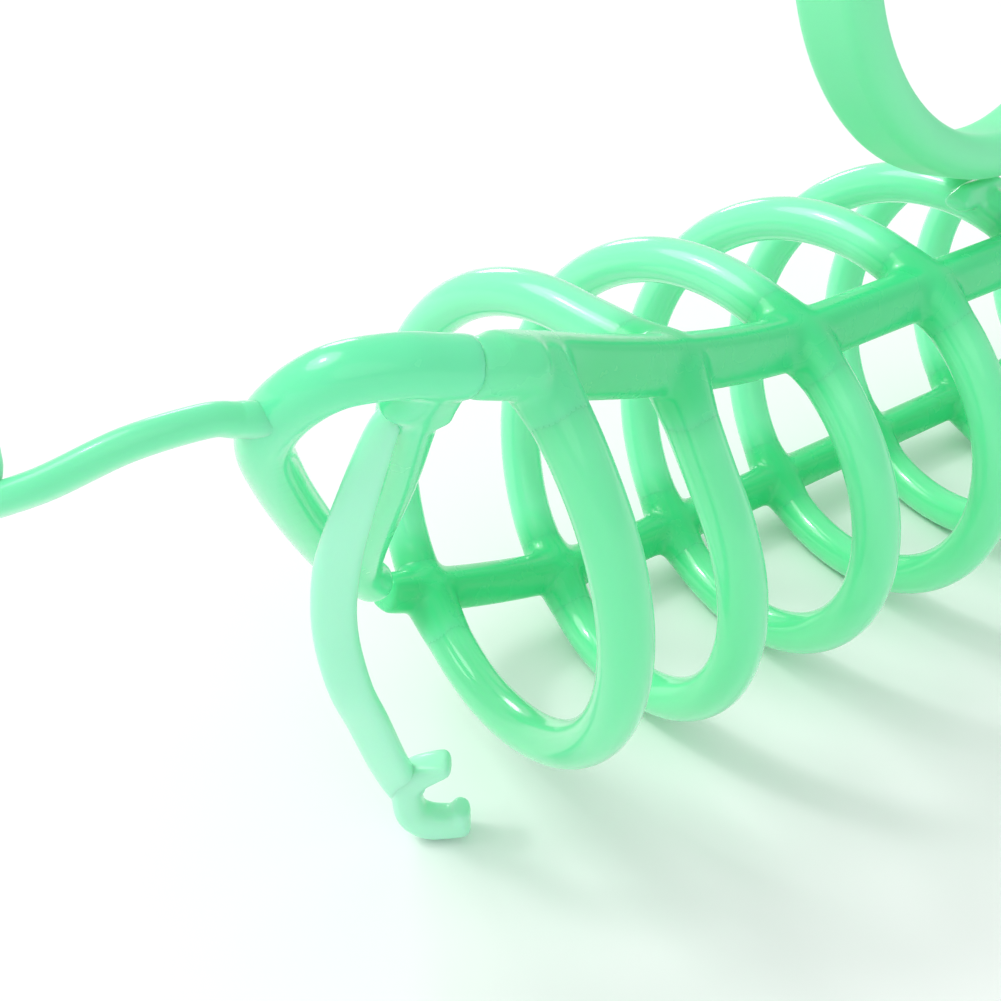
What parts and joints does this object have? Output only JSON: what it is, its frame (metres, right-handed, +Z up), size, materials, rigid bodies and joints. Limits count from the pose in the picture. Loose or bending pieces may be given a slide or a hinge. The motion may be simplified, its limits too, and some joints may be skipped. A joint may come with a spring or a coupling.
{
  "type": "leg band",
  "caption": "Open moulded coil sleeve for a bird's leg on two rails, with a spring gate and snap-fork straps at each end and a carry ring on top.",
  "frame": {"origin": "centre of the leg passage, on the straight part of the coil's axis, midway between its ends", "axes": "+X along the leg, +Z up through the crown that carries the ring, -Y the front, where the upper rail runs"},
  "size_m": [0.1158, 0.027, 0.0503],
  "materials": {
    "turn_near": "glossy translucent, clear pale edges",
    "turn_far": "glossy translucent, deeper green",
    "rail": "glossy translucent",
    "gate": "glossy translucent",
    "strap": "glossy pale translucent",
    "fork": "satin, slightly grey",
    "ring": "satin, slightly frosted"
  },
  "bodies": {
    "coil": {"near_half_turn_1": "turn_near", "near_half_turn_2": "turn_near", "near_half_turn_3": "turn_near", "near_half_turn_4": "turn_near", "near_half_turn_5": "turn_near", "near_half_turn_6": "turn_near", "near_half_turn_7": "turn_near", "near_half_turn_8": "turn_near", "far_half_turn_1": "turn_far", "far_half_turn_2": "turn_far", "far_half_turn_3": "turn_far", "far_half_turn_4": "turn_far", "far_half_turn_5": "turn_far", "far_half_turn_6": "turn_far", "far_half_turn_7": "turn_far", "far_half_turn_8": "turn_far", "upper_rail": "rail", "lower_rail": "rail", "near_gate_hinge": "gate", "far_gate_hinge": "gate", "ring_saddle": "turn_far", "ring_hinge": "turn_far"},
    "near_gate_body": {"near_gate": "gate"},
    "near_front_arm": {"near_front_strap": "strap", "near_front_fork": "fork"},
    "near_tail_arm": {"near_tail_strap": "strap", "near_tail_fork": "fork"},
    "far_gate_body": {"far_gate": "gate"},
    "far_front_arm": {"far_front_strap": "strap", "far_front_fork": "fork"},
    "far_tail_arm": {"far_tail_strap": "strap", "far_tail_fork": "fork"},
    "ring_body": {"carry_ring": "ring"}
  },
  "joints": [
    {"name": "near_gate_swing", "type": "hinge", "parent": "coil", "child": "near_gate_body", "pos_m": [-0.03974, -0.00993, 0.01682], "axis": [0.2979, 0.7504, 0.59], "range_deg": [0, 100], "stiffness_Nm_per_rad": 0.004},
    {"name": "near_front_strap_bend", "type": "hinge", "parent": "near_gate_body", "child": "near_front_arm", "pos_m": [-0.0421, -0.00725, 0.0129], "axis": [-0.8, 0.6, 0], "range_deg": [0, 90], "stiffness_Nm_per_rad": 0.002},
    {"name": "near_tail_strap_bend", "type": "hinge", "parent": "near_gate_body", "child": "near_tail_arm", "pos_m": [-0.0469, -0.0057, 0.0148], "axis": [-0.0701, 0.8315, -0.551], "range_deg": [-35, 25], "stiffness_Nm_per_rad": 0.002},
    {"name": "far_gate_swing", "type": "hinge", "parent": "coil", "child": "far_gate_body", "pos_m": [0.03974, -0.00993, 0.01682], "axis": [0.2979, -0.7504, -0.59], "range_deg": [0, 100], "stiffness_Nm_per_rad": 0.004},
    {"name": "far_front_strap_bend", "type": "hinge", "parent": "far_gate_body", "child": "far_front_arm", "pos_m": [0.0421, -0.00725, 0.0129], "axis": [-0.8, -0.6, 0], "range_deg": [0, 90], "stiffness_Nm_per_rad": 0.002},
    {"name": "far_tail_strap_bend", "type": "hinge", "parent": "far_gate_body", "child": "far_tail_arm", "pos_m": [0.0469, -0.0057, 0.0148], "axis": [-0.0701, -0.8315, 0.551], "range_deg": [-35, 25], "stiffness_Nm_per_rad": 0.002},
    {"name": "ring_tilt", "type": "hinge", "parent": "coil", "child": "ring_body", "pos_m": [-0.0008, -0.0023, 0.01275], "axis": [1, 0, 0], "range_deg": [-8, 45], "stiffness_Nm_per_rad": 0.006}
  ]
}
